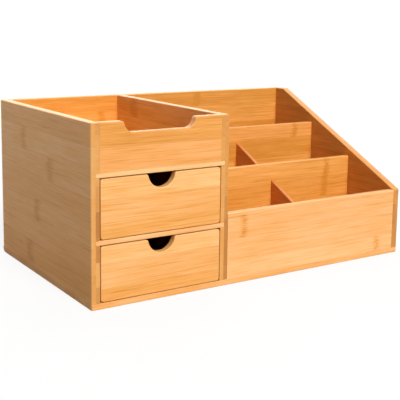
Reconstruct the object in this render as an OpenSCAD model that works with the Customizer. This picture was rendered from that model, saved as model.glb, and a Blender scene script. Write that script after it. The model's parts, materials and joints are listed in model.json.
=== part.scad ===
// Bamboo desk organizer: a cabinet with an open tray over two drawers, and a stepped rack beside it.
// Origin: on the desk, under the middle of the overall box. +X to the right, -Y to the front, +Z up.

/* [Overall] */
// Width over the two outer side panels
body_w = 330; // [250:1:430]
// Depth from the front edges to the back face
body_d = 195; // [158:1:260]
// Height from the desk to the level top edges
body_h = 147; // [122:1:190]
// Width of the drawer cabinet over its two side panels
cabinet_w = 127; // [90:1:170]

/* [Boards] */
// Thickness of the side panels, the middle panel and the back panel
panel_t = 7.5; // [5:0.5:11]
// Thickness of the base board
base_t = 5; // [4:0.5:9]
// Thickness of the two shelves
shelf_t = 4; // [3:0.5:6]
// Thickness of the tray front, the low front and the drawer fronts
front_t = 6.5; // [5:0.5:9]
// Thickness of the two partitions across the rack
partition_t = 5; // [3:0.5:8]
// Thickness of the two dividers between the partitions
divider_t = 4; // [3:0.5:8]
// Depth of the dadoes that hold the shelf ends
dado_d = 3.5; // [1:0.5:4]
// Radius on the lower back edge of the base board
base_round_r = 4.5; // [1:0.5:4.5]

/* [Drawers] */
// Clear height of the lower drawer bay
lower_bay_h = 46; // [32:1:56]
// Clear height of the upper drawer bay
upper_bay_h = 49; // [32:1:60]
// Gap between a drawer and the panel on each side of it
side_gap = 0.5; // [0.3:0.1:1.5]
// Gap under a drawer
bottom_gap = 0.4; // [0.3:0.1:1]
// Gap between a drawer front and the shelf over it
top_gap = 0.7; // [0.4:0.1:2]
// Gap between a closed drawer and the back panel
back_gap = 0.5; // [0.4:0.1:20]
// Thickness of a drawer's sides and back
drawer_wall_t = 5; // [3:0.5:7]
// Thickness of a drawer's bottom
drawer_bottom_t = 3; // [2:0.5:5]
// Height of the lower edge of the sides under a drawer's bottom
bottom_lift = 3; // [1:0.5:6]
// Depth of the grooves that hold a drawer's bottom
groove_d = 2; // [1:0.5:2.5]
// How far the sides and back stay below the top of the drawer front
side_drop = 4; // [0:0.5:12]

/* [Finger notches] */
// Width of the half-round notch in a drawer front
finger_w = 29; // [29:1:50]
// Depth of the half-round notch
finger_depth = 11.5; // [9:0.5:13]
// Radius of the hollow of the half-round notch
finger_r = 12; // [8:0.5:12]
// Radius on the top corners of the notches
notch_corner_r = 2.5; // [1:0.5:2.5]
// Place of the half-round notches, from the middle of the bay
finger_shift = -1; // [-10:0.5:10]

/* [Tray notch] */
// Width of the notch in the tray front
tray_notch_w = 69.5; // [45:0.5:75]
// Depth of the notch in the tray front
tray_notch_depth = 9; // [5:0.5:12]
// Radius of the two lower corners of the tray notch
tray_notch_r = 8; // [4:0.5:8]
// Place of the tray notch, from the middle of the bay
tray_notch_shift = -2.5; // [-10:0.5:10]

/* [Rack] */
// Height of the low front, and of the right panel's front edge
low_front_h = 62.5; // [40:0.5:75]
// Length of the level top edge behind the slope of the right panel
level_top = 19.5; // [10:0.5:30]
// Distance from the front to the front partition
front_pocket = 65; // [45:1:75]
// Distance from the front to the rear partition
rear_pocket = 124; // [105:1:135]
// How far the partitions stay below the slope
partition_drop = 7; // [0:0.5:15]
// How far the dividers stay below the slope
divider_drop = 23; // [12:0.5:30]

/* [Hidden] */
$fn = 96;

over = 1;                                  // how far a cutter runs past the face that it cuts

left_x = -body_w / 2;
right_x = body_w / 2;
front_y = -body_d / 2;
back_y = body_d / 2;
inner_back_y = back_y - panel_t;           // front face of the back panel
inner_d = inner_back_y - front_y;

bay_x = left_x + panel_t;                  // the drawer bays and the tray over them
bay_w = cabinet_w - 2 * panel_t;
bay_mid_x = bay_x + bay_w / 2;
middle_x = bay_x + bay_w;                  // left face of the middle panel
rack_x = middle_x + panel_t;
rack_w = right_x - panel_t - rack_x;

lower_shelf_z = base_t + lower_bay_h;
upper_bay_z = lower_shelf_z + shelf_t;
upper_shelf_z = upper_bay_z + upper_bay_h;
tray_z = upper_shelf_z + shelf_t;

drawer_x = bay_x + side_gap;
drawer_w = bay_w - 2 * side_gap;
drawer_right_x = drawer_x + drawer_w;
drawer_back_y = inner_back_y - back_gap;
drawer_wall_y = front_y + front_t;         // where the sides start, behind the drawer front
drawer_wall_len = drawer_back_y - drawer_wall_y;

slope_back_y = back_y - level_top;         // where the slope of the right panel meets its level top
slope_run = slope_back_y - front_y;
slope_rise = body_h - low_front_h;
front_partition_y = front_y + front_pocket;
rear_partition_y = front_y + rear_pocket;
divider_x = rack_x + (rack_w - divider_t) / 2;

sapwood = "#efb777";                       // the paler strips of carbonised bamboo
heartwood = "#d99a55";                     // the darker strips
inner_wood = "#c07a3c";

// Height of the right panel's sloping edge at a place from front to back
function slope_z(y) = low_front_h + slope_rise * (y - front_y) / slope_run;

// A plain board from its lowest corner and its size
module board(corner, size) {
    translate(corner) cube(size);
}

// A board on edge: an outline of [y, z] points, t thick along X
module outline_board(x, t, points) {
    translate([x, 0, 0]) rotate([90, 0, 90]) linear_extrude(t) polygon(points);
}

// Room for both shelf ends in the face of a panel, from the front edge to the back panel
module shelf_dadoes(x) {
    for (z = [lower_shelf_z, upper_shelf_z])
        board([x, front_y - over, z], [dado_d, inner_d + over, shelf_t]);
}

// A notch that hangs from [0, 0]: rounded corners at the top, hollow corners at the bottom
module notch_outline(w, depth, hollow_r) {
    corner_r = notch_corner_r;
    reach = corner_r + hollow_r;
    run = sqrt(reach * reach - (reach - depth) * (reach - depth));
    corner = [w / 2, -corner_r];
    hollow = [w / 2 - run, hollow_r - depth];
    touch = corner + (hollow - corner) * corner_r / reach;
    difference() {
        union() {
            polygon([
                [-corner.x, over], [corner.x, over], [corner.x, 0], touch, hollow,
                [hollow.x, -depth], [-hollow.x, -depth],
                [-hollow.x, hollow.y], [-touch.x, touch.y], [-corner.x, 0]
            ]);
            for (side = [-1, 1]) translate([side * hollow.x, hollow.y]) circle(hollow_r);
        }
        for (side = [-1, 1]) translate([side * corner.x, corner.y]) circle(corner_r);
    }
}

// The same notch cut front to back through a front that starts at front_y
module front_notch(x, z, w, depth, hollow_r) {
    translate([x, front_y + front_t + over, z]) rotate([90, 0, 0])
        linear_extrude(front_t + 2 * over) intersection() {
            notch_outline(w, depth, hollow_r);
            translate([-w / 2 - over, -depth - over]) square([w + 2 * over, depth + 2 * over]);
        }
}

// ---- Carcass ----

module base_board() {
    round_y = back_y - base_round_r;
    color(heartwood) translate([left_x, 0, 0]) rotate([90, 0, 90]) linear_extrude(body_w)
        difference() {
            translate([front_y, 0]) square([body_d, base_t]);
            difference() {
                translate([round_y, -over]) square([base_round_r + over, base_round_r + over]);
                translate([round_y, base_round_r]) circle(base_round_r);
            }
        }
}

module left_side_panel() {
    color(heartwood) difference() {
        board([left_x, front_y, base_t], [panel_t, body_d, body_h - base_t]);
        shelf_dadoes(bay_x - dado_d);
    }
}

module middle_panel() {
    color(heartwood) difference() {
        board([middle_x, front_y, base_t], [panel_t, inner_d, body_h - base_t]);
        shelf_dadoes(middle_x);
    }
}

module right_side_panel() {
    color(heartwood) outline_board(right_x - panel_t, panel_t, [
        [front_y, base_t], [back_y, base_t], [back_y, body_h],
        [slope_back_y, body_h], [front_y, low_front_h]
    ]);
}

module back_panel() {
    color(inner_wood)
        board([bay_x, inner_back_y, base_t], [body_w - 2 * panel_t, panel_t, body_h - base_t]);
}

module shelf(z) {
    color(sapwood) board([bay_x - dado_d, front_y, z], [bay_w + 2 * dado_d, inner_d, shelf_t]);
}

module lower_shelf() shelf(lower_shelf_z);

module upper_shelf() shelf(upper_shelf_z);

module tray_front() {
    color(sapwood) difference() {
        board([bay_x, front_y, tray_z], [bay_w, front_t, body_h - tray_z]);
        front_notch(bay_mid_x + tray_notch_shift, body_h, tray_notch_w, tray_notch_depth, tray_notch_r);
    }
}

// ---- Rack ----

module low_front() {
    color(sapwood) board([rack_x, front_y, base_t], [rack_w, front_t, low_front_h - base_t]);
}

module partition(y) {
    color(sapwood)
        board([rack_x, y, base_t], [rack_w, partition_t, slope_z(y) - partition_drop - base_t]);
}

module front_partition() partition(front_partition_y);

module rear_partition() partition(rear_partition_y);

// A divider from y0 to y1 whose top edge runs along the slope
module divider(y0, y1) {
    color(inner_wood) outline_board(divider_x, divider_t, [
        [y0, base_t], [y1, base_t],
        [y1, slope_z(y1) - divider_drop], [y0, slope_z(y0) - divider_drop]
    ]);
}

module front_divider() divider(front_y + front_t, front_partition_y);

module rear_divider() divider(front_partition_y + partition_t, rear_partition_y);

// ---- Drawers: each is made from the floor height z and the clear height h of its bay ----

function drawer_z(z) = z + bottom_gap;
function drawer_front_h(h) = h - bottom_gap - top_gap;
function drawer_wall_h(h) = drawer_front_h(h) - side_drop;

// The bottom board, which also cuts the grooves that it sits in on all four sides
module drawer_bottom_board(z) {
    board(
        [drawer_x + drawer_wall_t - groove_d, drawer_wall_y - groove_d, drawer_z(z) + bottom_lift],
        [
            drawer_w - 2 * (drawer_wall_t - groove_d),
            drawer_wall_len - drawer_wall_t + 2 * groove_d,
            drawer_bottom_t
        ]
    );
}

module drawer_front(z, h) {
    color(sapwood) difference() {
        board([drawer_x, front_y, drawer_z(z)], [drawer_w, front_t, drawer_front_h(h)]);
        front_notch(
            bay_mid_x + finger_shift, drawer_z(z) + drawer_front_h(h),
            finger_w, finger_depth, finger_r
        );
        drawer_bottom_board(z);
    }
}

module drawer_side(x, z, h) {
    color(heartwood) difference() {
        board([x, drawer_wall_y, drawer_z(z)], [drawer_wall_t, drawer_wall_len, drawer_wall_h(h)]);
        drawer_bottom_board(z);
    }
}

module drawer_left_side(z, h) drawer_side(drawer_x, z, h);

module drawer_right_side(z, h) drawer_side(drawer_right_x - drawer_wall_t, z, h);

module drawer_back(z, h) {
    color(heartwood) difference() {
        board(
            [drawer_x + drawer_wall_t, drawer_back_y - drawer_wall_t, drawer_z(z)],
            [drawer_w - 2 * drawer_wall_t, drawer_wall_t, drawer_wall_h(h)]
        );
        drawer_bottom_board(z);
    }
}

module drawer_bottom(z) {
    color(inner_wood) drawer_bottom_board(z);
}

base_board();
left_side_panel();
middle_panel();
right_side_panel();
back_panel();
lower_shelf();
upper_shelf();
tray_front();
low_front();
front_partition();
rear_partition();
front_divider();
rear_divider();
drawer_front(upper_bay_z, upper_bay_h);  // upper_drawer_front
drawer_left_side(upper_bay_z, upper_bay_h);  // upper_drawer_left_side
drawer_right_side(upper_bay_z, upper_bay_h);  // upper_drawer_right_side
drawer_back(upper_bay_z, upper_bay_h);  // upper_drawer_back
drawer_bottom(upper_bay_z);  // upper_drawer_bottom
drawer_front(base_t, lower_bay_h);  // lower_drawer_front
drawer_left_side(base_t, lower_bay_h);  // lower_drawer_left_side
drawer_right_side(base_t, lower_bay_h);  // lower_drawer_right_side
drawer_back(base_t, lower_bay_h);  // lower_drawer_back
drawer_bottom(base_t);  // lower_drawer_bottom
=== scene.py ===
import json
import math

import bmesh
import bpy
from mathutils import Matrix, Vector

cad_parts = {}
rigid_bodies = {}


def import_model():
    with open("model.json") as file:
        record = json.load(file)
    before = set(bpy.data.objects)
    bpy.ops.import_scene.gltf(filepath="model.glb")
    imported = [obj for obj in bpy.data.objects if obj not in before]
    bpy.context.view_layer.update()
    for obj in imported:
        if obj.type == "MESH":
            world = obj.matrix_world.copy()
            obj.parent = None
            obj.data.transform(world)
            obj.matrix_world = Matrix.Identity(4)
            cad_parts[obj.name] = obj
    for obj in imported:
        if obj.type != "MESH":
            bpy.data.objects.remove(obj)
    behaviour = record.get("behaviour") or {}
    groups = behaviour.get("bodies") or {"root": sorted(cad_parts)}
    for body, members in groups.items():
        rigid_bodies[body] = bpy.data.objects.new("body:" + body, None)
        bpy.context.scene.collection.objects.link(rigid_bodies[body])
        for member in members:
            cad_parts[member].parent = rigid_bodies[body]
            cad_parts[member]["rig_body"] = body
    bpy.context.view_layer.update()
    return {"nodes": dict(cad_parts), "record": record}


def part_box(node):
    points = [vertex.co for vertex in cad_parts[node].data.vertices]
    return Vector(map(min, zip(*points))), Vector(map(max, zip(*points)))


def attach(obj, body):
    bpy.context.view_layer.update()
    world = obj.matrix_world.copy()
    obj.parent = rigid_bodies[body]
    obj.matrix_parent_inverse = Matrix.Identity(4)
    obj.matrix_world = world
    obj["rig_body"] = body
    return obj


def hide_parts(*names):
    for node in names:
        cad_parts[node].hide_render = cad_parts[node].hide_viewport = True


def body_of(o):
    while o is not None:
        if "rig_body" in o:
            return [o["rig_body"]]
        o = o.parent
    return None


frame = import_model()

# ---- Camera ----
# A long lens to the left of the drawers and a little above the tray. It looks slightly down, and its lens is
# shifted so that the organizer sits in the middle of the frame.
camera = bpy.data.cameras.new("camera")
camera.sensor_width = 36
camera.lens = 75.95
camera.shift_y = -0.15
camera_turn = math.radians(-33.05)
camera_dip = math.radians(8.49)
camera_roll = math.radians(0.756)
camera_place = Vector((-0.4378, -0.6671, 0.2288))
camera_object = bpy.data.objects.new("camera", camera)
camera_object.matrix_world = (
    Matrix.Translation(camera_place)
    @ Matrix.Rotation(camera_turn, 4, "Z")
    @ Matrix.Rotation(math.pi / 2 - camera_dip, 4, "X")
    @ Matrix.Rotation(camera_roll, 4, "Z")
)
bpy.context.scene.collection.objects.link(camera_object)
bpy.context.scene.camera = camera_object
bpy.context.scene.view_settings.view_transform = "Standard"
bpy.context.scene.view_settings.gamma = 0.9

# ---- Base board ----
# One wide board of laminated bamboo lies flat under everything, and every upright board is glued down on it.
# Bamboo board is strips side by side, in plies, glued, planed and lacquered. Its free edges are sanded round.
MM = 0.001
X, Y, Z = 0, 1, 2
LOW, HIGH = 0, 1
OPEN_EDGE = 0.8 * MM
FRONT_CORNER = 1.6 * MM
JOINT_EDGE = 0.2 * MM
CLOSE = 0.01 * MM


def touches_another(point, node, neighbours):
    """True where a board of the same body stands against this one, so no hand or sandpaper gets there."""
    reach = 0.3 * MM
    for other in neighbours:
        low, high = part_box(other)
        if other != node and all(low[i] - reach < point[i] < high[i] + reach for i in range(3)):
            return True
    return False


def middle(edge):
    return (edge.verts[0].co + edge.verts[1].co) / 2


def sharp_edges(mesh):
    least_turn = math.radians(50)
    return [edge for edge in mesh.edges if len(edge.link_faces) == 2 and edge.calc_face_angle() > least_turn]


def bevel(mesh, edges, width, steps):
    """Rounds the edges and marks the new faces as sanded."""
    made = bmesh.ops.bevel(
        mesh, geom=edges, offset=width, segments=steps, profile=0.5,
        affect="EDGES", clamp_overlap=False, material=-1
    )
    sanded = mesh.faces.layers.float["sanded"]
    for face in made["faces"]:
        face[sanded] = 1.0


def sand_edges(mesh, node, neighbours, ease, rounded):
    """Rounds the edges in rounded, each given as two (axis, end) pairs and a radius. Then eases the edges a
    hand can reach, takes the sharpness off the others, and keeps the board inside its own box."""
    corner_steps = 5
    open_steps = 3
    joint_steps = 2
    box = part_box(node)
    for corner, radius in rounded:
        bevel(mesh, [
            edge for edge in sharp_edges(mesh)
            if all(abs(middle(edge)[axis] - box[end][axis]) < CLOSE for axis, end in corner)
        ], radius, corner_steps)
    in_reach = [edge for edge in sharp_edges(mesh) if not touches_another(middle(edge), node, neighbours)]
    bevel(mesh, in_reach, ease, open_steps)
    bevel(mesh, sharp_edges(mesh), JOINT_EDGE, joint_steps)
    for vertex in mesh.verts:
        vertex.co = [min(max(vertex.co[i], box[LOW][i]), box[HIGH][i]) for i in range(3)]
    bmesh.ops.remove_doubles(mesh, verts=mesh.verts, dist=CLOSE)
    bmesh.ops.dissolve_degenerate(mesh, edges=mesh.edges, dist=CLOSE)


def eased_board(node, grain, ease, rounded):
    """A copy of the node's board with sanded edges. Each face keeps whether it is sanded, and how far it cuts
    across the grain."""
    body = body_of(frame["nodes"][node])[0]
    mesh = bmesh.new()
    mesh.from_mesh(frame["nodes"][node].data)
    bmesh.ops.remove_doubles(mesh, verts=mesh.verts, dist=CLOSE)
    bmesh.ops.dissolve_limit(mesh, angle_limit=math.radians(1), verts=mesh.verts, edges=mesh.edges)
    mesh.faces.layers.float.new("sanded")
    mesh.faces.layers.float.new("end_grain")
    sand_edges(mesh, node, frame["record"]["behaviour"]["bodies"][body], ease, rounded)
    sanded = mesh.faces.layers.float["sanded"]
    end_grain = mesh.faces.layers.float["end_grain"]
    for face in mesh.faces:
        face.smooth = True
        face[end_grain] = abs(face.normal[grain])
    for edge in mesh.edges:
        edge.smooth = any(face[sanded] > 0.5 for face in edge.link_faces)
    data = bpy.data.meshes.new(node + "_wood")
    mesh.to_mesh(data)
    mesh.free()
    board = bpy.data.objects.new(node + "_wood", data)
    bpy.context.scene.collection.objects.link(board)
    normals = board.modifiers.new("flat_faces", "WEIGHTED_NORMAL")
    normals.weight = 100
    normals.keep_sharp = True
    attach(board, body)
    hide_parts(node)
    return board


class Nodes:
    """Short ways to add and join shader nodes in one material."""

    def __init__(self, owner):
        owner.use_nodes = True
        self.tree = owner.node_tree
        self.tree.nodes.clear()

    def join(self, value, socket):
        if isinstance(value, bpy.types.NodeSocket):
            self.tree.links.new(value, socket)
        else:
            socket.default_value = value

    def add(self, kind, inputs=None, **settings):
        node = self.tree.nodes.new("ShaderNode" + kind)
        for name, value in settings.items():
            setattr(node, name, value)
        for name, value in (inputs or {}).items():
            self.join(value, node.inputs[name])
        return node

    def math(self, operation, *values):
        return self.add("Math", dict(enumerate(values)), operation=operation).outputs[0]

    def times(self, *values):
        result = values[0]
        for value in values[1:]:
            result = self.math("MULTIPLY", result, value)
        return result

    def total(self, *values):
        result = values[0]
        for value in values[1:]:
            result = self.math("ADD", result, value)
        return result

    def swing(self, value, amount):
        """value, which is about a half, as a change of up to amount either way."""
        return self.math("MULTIPLY_ADD", value, 2 * amount, -amount)

    def between(self, value, low, high):
        """0 at low and 1 at high, smooth in between."""
        settings = {"Value": value, "From Min": low, "From Max": high}
        return self.add("MapRange", settings, interpolation_type="SMOOTHSTEP").outputs["Result"]

    def point(self, *axes):
        return self.add("CombineXYZ", dict(enumerate(axes))).outputs[0]

    def noise(self, vector, detail=2.0):
        return self.add("TexNoise", {"Vector": vector, "Scale": 1.0, "Detail": detail}).outputs["Fac"]

    def ramp(self, value, stops, interpolation="LINEAR"):
        """Colours at places from 0 to 1."""
        table = self.add("ValToRGB", {0: value})
        table.color_ramp.interpolation = interpolation
        while len(table.color_ramp.elements) < len(stops):
            table.color_ramp.elements.new(1.0)
        for element, (place, colour) in zip(table.color_ramp.elements, stops):
            element.position = place
            element.color = colour
        return table.outputs

    def blend(self, factor, first, second, kind="MIX"):
        node = self.add("Mix", data_type="RGBA", blend_type=kind)
        for socket, value in ((0, factor), (6, first), (7, second)):
            self.join(value, node.inputs[socket])
        return node.outputs[2]


STRIP = 20 * MM
PALE = (0.84, 0.52, 0.235, 1)
HONEY = (0.77, 0.375, 0.095, 1)
AMBER = (0.60, 0.25, 0.03, 1)
ROSY = (1.0, 0.60, 0.85, 1)
CUT_END = (0.86, 0.80, 0.70, 1)
DARK_END = (0.62, 0.50, 0.36, 1)
GLUE_LINE = (0.42, 0.17, 0.05, 1)
NO_KNOT = 5.0


def strip(tone, knot=NO_KNOT, rose=0.0, end=0.0):
    """One strip of bamboo: its tone from 0 for pale over a half for honey to 1 for amber, its knot's place as
    a share of its length, how rosy it is, and how dark its cut end is."""
    return (tone, knot, rose, end)


class Grain(Nodes):
    """The nodes of one board's bamboo, and where a point lies along, beside and into its strips. first is
    where the first strip starts, on the axis across the grain."""

    def __init__(self, material, node, grain, across, first):
        super().__init__(material)
        low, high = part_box(node)
        through = 3 - grain - across
        axes = self.add("SeparateXYZ", {0: self.add("TexCoord").outputs["Object"]}).outputs
        self.length = high[grain] - low[grain]
        self.along = self.math("SUBTRACT", axes[grain], low[grain])
        self.side = self.math("SUBTRACT", axes[across], first)
        self.depth = self.math("SUBTRACT", axes[through], low[through] - CLOSE)
        self.end_grain = self.add("Attribute", attribute_name="end_grain").outputs["Fac"]
        self.sanded = self.add("Attribute", attribute_name="sanded").outputs["Fac"]

    def find_strip(self, plies, thick, stagger, seed):
        """Which ply and which strip a point is in, and what that strip is like."""
        strip_shift = 5.3
        ply_shift = 9.1
        layer = self.math("FLOOR", self.math("DIVIDE", self.depth, thick))
        lane = self.math("ADD", self.math("DIVIDE", self.side, STRIP), self.times(layer, stagger))
        number = self.math("FLOOR", lane)
        self.in_lane = self.math("FRACT", lane)
        row = self.math("FRACT", self.math("DIVIDE", self.total(number, 0.5), len(plies[0])))
        ply = self.math("MINIMUM", layer, len(plies) - 1)
        share = self.math("DIVIDE", self.total(row, ply), len(plies))
        strips = [one for ply_strips in plies for one in ply_strips]
        table = self.ramp(share, [(i / len(strips), one) for i, one in enumerate(strips)], "CONSTANT")
        self.tone, self.knot, self.rose = self.add("SeparateColor", {0: table[0]}).outputs
        self.dark_end = table["Alpha"]
        self.own = self.total(self.times(number, strip_shift), self.times(layer, ply_shift), seed)

    def streaks(self, length, width, detail=2.0):
        """Noise drawn out along the grain, different in every strip. On a cut end it is small dots."""
        return self.noise(self.point(
            self.math("ADD", self.math("DIVIDE", self.along, length), self.own),
            self.math("DIVIDE", self.side, width),
            self.math("DIVIDE", self.depth, width)
        ), detail)


def fibre_tone(wood, fine, lines):
    """What the fibres add to the tone: fine streaks with darker and paler threads, fainter on a cut end."""
    fine_change = 0.34
    dark_change = 0.30
    dark_starts = 0.52
    dark_full = 0.72
    pale_change = -0.16
    pale_starts = 0.46
    pale_full = 0.28
    lost_on_end = -0.6
    fibres = wood.total(
        wood.swing(fine, fine_change),
        wood.times(wood.between(lines, dark_starts, dark_full), dark_change),
        wood.times(wood.between(lines, pale_starts, pale_full), pale_change)
    )
    return wood.times(fibres, wood.math("MULTIPLY_ADD", wood.end_grain, lost_on_end, 1.0))


def cloud_tone(wood):
    """What slow changes along a strip, and soft clouds in it, add to the tone."""
    broad_change = 0.18
    cloud_change = 0.2
    cloud_length = 55 * MM
    cloud_width = 14 * MM
    broad = wood.streaks(length=100 * MM, width=5 * MM, detail=1.0)
    cloud = wood.noise(wood.point(
        wood.math("ADD", wood.math("DIVIDE", wood.along, cloud_length), wood.own),
        wood.math("DIVIDE", wood.side, cloud_width),
        wood.own
    ))
    return wood.total(wood.swing(broad, broad_change), wood.swing(cloud, cloud_change))


def knot_tone(wood, knot_width):
    """What a knot adds to the tone: a bowed line across the strip, in a band of dark flecks."""
    bow_depth = 0.8 * knot_width
    waver = 0.3 * knot_width
    waver_length = 12 * MM
    waver_width = 3 * MM
    band_edge = 0.75 * knot_width
    band_core = 0.1 * knot_width
    band_change = 0.14
    line_edge = 0.16 * knot_width
    line_core = 0.03 * knot_width
    line_change = 0.14
    fleck_starts = 0.40
    fleck_full = 0.62
    fleck_change = 0.36
    bow = wood.times(wood.math("POWER", wood.math("SUBTRACT", wood.in_lane, 0.5), 2.0), bow_depth)
    ragged = wood.swing(wood.noise(wood.point(
        wood.math("DIVIDE", wood.along, waver_length), wood.math("DIVIDE", wood.side, waver_width), wood.own
    )), waver)
    knot_at = wood.times(wood.knot, wood.length)
    off = wood.math("ABSOLUTE", wood.math("SUBTRACT", wood.total(wood.along, bow, ragged), knot_at))
    band = wood.between(off, band_edge, band_core)
    line = wood.between(off, line_edge, line_core)
    flecks = wood.between(wood.streaks(length=6 * MM, width=0.75 * MM), fleck_starts, fleck_full)
    return wood.total(
        wood.times(band, flecks, fleck_change), wood.times(band, band_change), wood.times(line, line_change)
    )


def wood_colour(wood, amount, seam):
    """The colour at a tone, with the strip's own rose, its cut end, its glue lines and its sanded edges,
    which are painted paler, partly as pale sanded wood and partly as a painted highlight.
    """
    rose_share = 0.25
    end_paleness = 0.2
    end_greyness = 0.9
    glue_share = 0.22
    sanded_paleness_and_highlight = 0.12
    colour = wood.ramp(amount, [(0.0, PALE), (0.5, HONEY), (1.0, AMBER)])[0]
    colour = wood.blend(wood.times(wood.rose, rose_share), colour, ROSY, "MULTIPLY")
    colour = wood.blend(wood.times(wood.end_grain, end_paleness), colour, PALE)
    colour = wood.blend(wood.times(wood.end_grain, end_greyness), colour, CUT_END, "MULTIPLY")
    colour = wood.blend(wood.times(wood.end_grain, wood.dark_end), colour, DARK_END, "MULTIPLY")
    colour = wood.blend(wood.times(seam, glue_share), colour, GLUE_LINE)
    # Sanded edges are blended towards PALE: partly the paler sanded wood, partly a painted highlight for the
    # light caught on the eased edges.
    return wood.blend(wood.times(wood.sanded, sanded_paleness_and_highlight), colour, PALE)


def satin_lacquer(wood, colour, fine, lines, seam):
    """A thin satin coat that shows the pores and the glue lines."""
    mean_roughness = 0.46
    roughness_change = 0.1
    fibre_height = 0.6
    pore_height = 0.5
    seam_height = -0.5
    bump_strength = 0.2
    bump_distance = 0.15 * MM
    roughness = wood.math("ADD", mean_roughness, wood.swing(fine, roughness_change))
    height = wood.total(
        wood.times(fine, fibre_height), wood.times(lines, pore_height), wood.times(seam, seam_height)
    )
    bump = wood.add("Bump", {"Height": height, "Strength": bump_strength, "Distance": bump_distance})
    surface = wood.add("BsdfPrincipled", {
        "Base Color": colour, "Roughness": roughness, "Normal": bump.outputs["Normal"]
    })
    surface.inputs["IOR"].default_value = 1.5
    surface.inputs["Coat Weight"].default_value = 0.2
    surface.inputs["Coat Roughness"].default_value = 0.38
    wood.add("OutputMaterial", {"Surface": surface.outputs[0]})


def bamboo(node, grain, across, first, plies, thick, stagger=0.45, knot_width=8 * MM, seed=0.0):
    """Laminated bamboo for one board. grain and across are the axes that its strips run along and lie side by
    side on, and plies has a row of strips for each ply, lowest first."""
    seam_half_width = 0.014
    material = bpy.data.materials.new(node + "_bamboo")
    wood = Grain(material, node, grain, across, first)
    wood.find_strip(plies, thick, stagger, seed)
    fine = wood.streaks(length=20 * MM, width=0.6 * MM)
    lines = wood.streaks(length=60 * MM, width=1.2 * MM)
    from_seam = wood.math("SUBTRACT", 0.5, wood.math("ABSOLUTE", wood.math("SUBTRACT", wood.in_lane, 0.5)))
    seam = wood.between(from_seam, seam_half_width, 0.0)
    amount = wood.total(
        wood.tone, cloud_tone(wood), fibre_tone(wood, fine, lines), knot_tone(wood, knot_width)
    )
    satin_lacquer(wood, wood_colour(wood, amount, seam), fine, lines, seam)
    return material


def finish_board(node, grain, across, first, plies, thick, ease=OPEN_EDGE, rounded=(), **choices):
    """Puts one finished board of bamboo in the place of its node."""
    board = eased_board(node, grain, ease, rounded)
    board.data.materials.clear()
    board.data.materials.append(bamboo(node, grain, across, first, plies, thick, **choices))


base_ply = 5 * MM
base_edge = 0.5 * MM
base_first = -106 * MM
base_strips = (
    strip(0.34, rose=0.4), strip(0.35, 0.8), strip(0.55, 0.1, 0.3), strip(0.30, 0.6), strip(0.45, 0.45, 0.4),
    strip(0.52, 0.7), strip(0.38, 0.22), strip(0.60, 0.9, 0.2), strip(0.35, 0.35, 0.2), strip(0.48, 0.55),
    strip(0.42, 0.15)
)
finish_board("base_board", X, Y, base_first, (base_strips,), base_ply, base_edge, rounded=(
    (((X, LOW), (Y, LOW)), FRONT_CORNER), (((X, HIGH), (Y, LOW)), FRONT_CORNER)
))

# ---- Side and middle panels ----
# Three upright boards of two plies, glued on the base with their grain from front to back. Their cut ends are
# the front edges, where the strips show as blocks, those of the two plies about half a strip apart.
panel_first = -11.5 * MM
panel_ply = 3.75 * MM
panel_choices = {"stagger": 0.525, "knot_width": 15 * MM}
back_corner = 2.0 * MM


def outer_edges(side):
    """The upright outer edges of a side panel, with their radii."""
    return (((side, (Y, HIGH)), back_corner), ((side, (Y, LOW)), FRONT_CORNER))


finish_board("left_side_panel", Y, Z, panel_first, (
    (
        strip(0.50), strip(0.62, 0.65), strip(0.45), strip(0.42, 0.56),
        strip(0.46), strip(0.40, 0.41), strip(0.36, 0.71), strip(0.55)
    ), (
        strip(0.45, end=0.3), strip(0.40, end=0.4), strip(0.35, 0.3), strip(0.50, end=0.65),
        strip(0.50, end=0.8), strip(0.45, 0.7, end=0.35), strip(0.45, end=0.05), strip(0.45, 0.25, end=0.05)
    )
), panel_ply, rounded=outer_edges((X, LOW)), **panel_choices)
finish_board("middle_panel", Y, Z, panel_first, (
    (
        strip(0.50), strip(0.45, 0.6), strip(0.50), strip(0.45, 0.3),
        strip(0.50), strip(0.55, 0.5), strip(0.52, end=0.05), strip(0.65, 0.82, 0.3, end=0.05)
    ), (
        strip(0.60, end=0.1), strip(0.60, end=0.6), strip(0.65, 0.3, end=0.65), strip(0.55, end=0.65),
        strip(0.60, 0.8, end=0.5), strip(0.55, end=0.2), strip(0.60, 0.4, end=0.1), strip(0.60, end=0.1)
    )
), panel_ply, seed=3.0, **panel_choices)
# The right panel's first ply, on its inner face towards the rack, is set darker, more amber and rosier than
# its outer ply: painted shade on that inner face.
finish_board("right_side_panel", Y, Z, panel_first, (
    (
        strip(0.75, rose=0.5, end=0.3), strip(0.80, rose=0.6, end=0.3), strip(0.90, 0.2, 0.6, 0.3),
        strip(0.80, rose=0.5), strip(0.85, 0.7, 0.7), strip(0.75, rose=0.6), strip(0.80, rose=0.5),
        strip(0.75, rose=0.6)
    ), (
        strip(0.50, end=0.5), strip(0.45, 0.3, end=0.6), strip(0.40, end=0.6), strip(0.50, 0.6, end=0.4),
        strip(0.60, end=0.5), strip(0.55, 0.8, end=0.5), strip(0.60, end=0.5), strip(0.55, 0.5, end=0.5)
    )
), panel_ply, rounded=outer_edges((X, HIGH)), seed=7.0, **panel_choices)

# ---- Back panel ----
# One long board of two plies closes the back of the cabinet and the rack.
# It is glued between the side panels.
back_first = -9 * MM
finish_board("back_panel", X, Z, back_first, ((
    strip(0.75), strip(0.65, 0.6), strip(0.80), strip(0.70, 0.9),
    strip(0.65, 0.2), strip(0.90), strip(0.62, 0.30), strip(0.82, 0.66)
),), panel_ply, seed=2.0)

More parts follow.
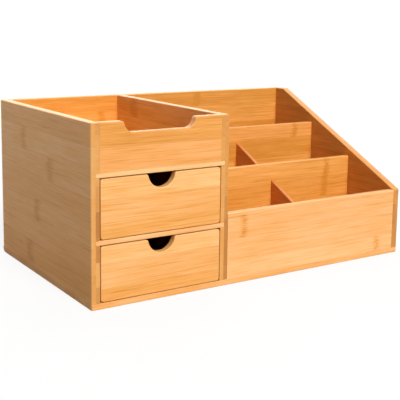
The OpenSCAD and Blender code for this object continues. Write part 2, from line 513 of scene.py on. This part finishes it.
# ---- Shelves ----
# Two thin boards make the floor of the tray and of the upper drawer's bay. Their ends sit in grooves in the
# panels, and their front edges run flush over the panels' inner ply.
shelf_ply = 4 * MM
shelf_first = -106 * MM
shelf_rows = (
    strip(0.45, 0.3), strip(0.38), strip(0.50, 0.8, 0.2), strip(0.32), strip(0.42, 0.6, 0.3), strip(0.55),
    strip(0.36, 0.15), strip(0.48, rose=0.2), strip(0.40, 0.9)
)
finish_board("lower_shelf", X, Y, shelf_first, ((strip(0.15, rose=0.6), *shelf_rows),), shelf_ply)
finish_board("upper_shelf", X, Y, shelf_first, ((strip(0.0), *shelf_rows),), shelf_ply)

# ---- Tray front and low front ----
# The board across the tray, with a wide notch for the hand, and the board across the foot of the rack.
front_ply = 3.25 * MM
tray_front_first = 107 * MM
low_front_first = -0.5 * MM
finish_board("tray_front", X, Z, tray_front_first, ((
    strip(0.44, rose=0.7), strip(0.68, rose=0.3)
),), front_ply)
finish_board("low_front", X, Z, low_front_first, ((
    strip(0.10, 0.90, 0.3), strip(0.22, rose=0.5), strip(0.22, 0.09, 0.6), strip(0.20, rose=0.6)
),), front_ply)

# ---- Partitions and dividers ----
# Two partitions step up to the back across the whole rack, and one short sloping divider splits each of the
# two front rows.
partition_ply = 2.5 * MM
front_partition_first = 8 * MM
rear_partition_first = 0.5 * MM
finish_board("front_partition", X, Z, front_partition_first, ((
    strip(0.60, 0.3), strip(0.70, 0.2), strip(0.70, 0.84), strip(0.58, 0.85)
),), partition_ply)
finish_board("rear_partition", X, Z, rear_partition_first, ((
    strip(0.60, 0.3), strip(0.70, 0.2), strip(0.60, 0.6),
    strip(0.65, 0.5), strip(0.85), strip(0.58, 0.88, 0.6)
),), partition_ply)
# The dividers' strips are set past amber and very rosy: this deep, saturated colour is painted shade on their
# faces inside the rack.
divider_strips_painted_shade = (strip(1.0, rose=2.0), strip(1.1, rose=2.1), strip(0.95, rose=2.0))
divider_ply = 4 * MM
front_divider_first = 0 * MM
rear_divider_first = 7 * MM
finish_board("front_divider", Y, Z, front_divider_first, (divider_strips_painted_shade,), divider_ply)
finish_board("rear_divider", Y, Z, rear_divider_first, (divider_strips_painted_shade,), divider_ply)

# ---- Drawers ----
# Two drawers, each a box of three thin sides and a thin bottom behind a front with a half-round finger notch.
# The bottom sits in grooves, and the front's four corners are rounded so that it slides past the shelves.
corner_radius = 2.4 * MM
front_corners = [(((X, side), (Z, end)), corner_radius) for side in (LOW, HIGH) for end in (LOW, HIGH)]
box_edge = 0.4 * MM
box_ply = 5 * MM
bottom_ply = 3 * MM
bottom_first = -157 * MM
box_strips = (strip(0.40, rose=0.1), strip(0.50, 0.3, 0.3), strip(0.45, 0.7, 0.1))
for drawer, first in (("upper_drawer", 47 * MM), ("lower_drawer", -4 * MM)):
    finish_board(drawer + "_front", X, Z, first, ((
        strip(0.50, rose=0.2), strip(0.34, rose=0.4), strip(0.20)
    ),), front_ply, rounded=front_corners, seed=first / MM)
    finish_board(drawer + "_left_side", Y, Z, first, (box_strips,), box_ply, box_edge)
    finish_board(drawer + "_right_side", Y, Z, first, (box_strips,), box_ply, box_edge)
    finish_board(drawer + "_back", X, Z, first, (box_strips,), box_ply, box_edge)
    finish_board(drawer + "_bottom", Y, X, bottom_first, (box_strips,), bottom_ply)

# ---- Studio ----
# A white floor, one broad soft light in front and a weaker one behind. The gloss sees a room with a darker
# ceiling and walls that are brightest behind the organizer. The floor glows for the camera alone.
paper_white = (0.42, 0.42, 0.42, 1)
paper_glow = 1.2
glow_share = 0.7
floor_radius = 6.0
floor_mesh = bpy.data.meshes.new("studio_floor")
disc = bmesh.new()
bmesh.ops.create_circle(disc, cap_ends=True, segments=64, radius=floor_radius)
disc.to_mesh(floor_mesh)
disc.free()
floor = bpy.data.objects.new("studio_floor", floor_mesh)
bpy.context.scene.collection.objects.link(floor)
paper = bpy.data.materials.new("white_paper")
nodes = Nodes(paper)
matt = nodes.add("BsdfDiffuse", {"Color": paper_white})
glow = nodes.add("Emission", {"Strength": paper_glow})
seen = nodes.times(nodes.add("LightPath").outputs["Is Camera Ray"], glow_share)
lit = nodes.add("MixShader", {0: seen, 1: matt.outputs[0], 2: glow.outputs[0]})
nodes.add("OutputMaterial", {"Surface": lit.outputs[0]})
floor_mesh.materials.append(paper)


def soft_light(name, turn, rise, strength, spread):
    """A broad light from turn degrees to the right of the front and rise degrees up."""
    light = bpy.data.lights.new(name, "SUN")
    light.energy = strength
    light.angle = math.radians(spread)
    source = bpy.data.objects.new(name, light)
    aim = Matrix.Rotation(math.radians(turn), 4, "Z") @ Matrix.Rotation(math.radians(90 - rise), 4, "X")
    source.matrix_world = aim
    bpy.context.scene.collection.objects.link(source)


soft_light("key", turn=-4, rise=38, strength=3.7, spread=24)
soft_light("back_light", turn=150, rise=50, strength=1.0, spread=60)

white = (1, 1, 1, 1)
backdrop_light = 1.25
front_wall_light = 1.0
back_wall_extra = 1.9
ceiling_loss = 0.75
least_room_light = 0.06
overhead_light = 0.45
back_wall_starts = -0.2
back_wall_full = 0.9
ceiling_starts = 0.15
ceiling_full = 0.6
overhead_starts = 0.5
overhead_full = 0.95
room = bpy.data.worlds.new("room")
bpy.context.scene.world = room
nodes = Nodes(room)
sky = nodes.add("SeparateXYZ", {0: nodes.add("TexCoord").outputs["Generated"]}).outputs
height = sky[Z]
back_wall = nodes.times(nodes.between(sky[Y], back_wall_starts, back_wall_full), back_wall_extra)
wall_light = nodes.total(back_wall, front_wall_light)
ceiling = nodes.times(nodes.between(height, ceiling_starts, ceiling_full), ceiling_loss)
seen_in_gloss = nodes.times(wall_light, nodes.math("SUBTRACT", 1.0, ceiling))
from_above = nodes.times(nodes.between(height, overhead_starts, overhead_full), overhead_light)
walls = nodes.add("Background", {"Color": white, "Strength": seen_in_gloss})
backdrop = nodes.add("Background", {"Color": white, "Strength": backdrop_light})
dim = nodes.add("Background", {"Color": white, "Strength": nodes.total(from_above, least_room_light)})
path = nodes.add("LightPath").outputs
gloss = nodes.add("MixShader", {0: path["Is Diffuse Ray"], 1: walls.outputs[0], 2: dim.outputs[0]})
mix = nodes.add("MixShader", {0: path["Is Camera Ray"], 1: gloss.outputs[0], 2: backdrop.outputs[0]})
nodes.add("OutputWorld", {"Surface": mix.outputs[0]})
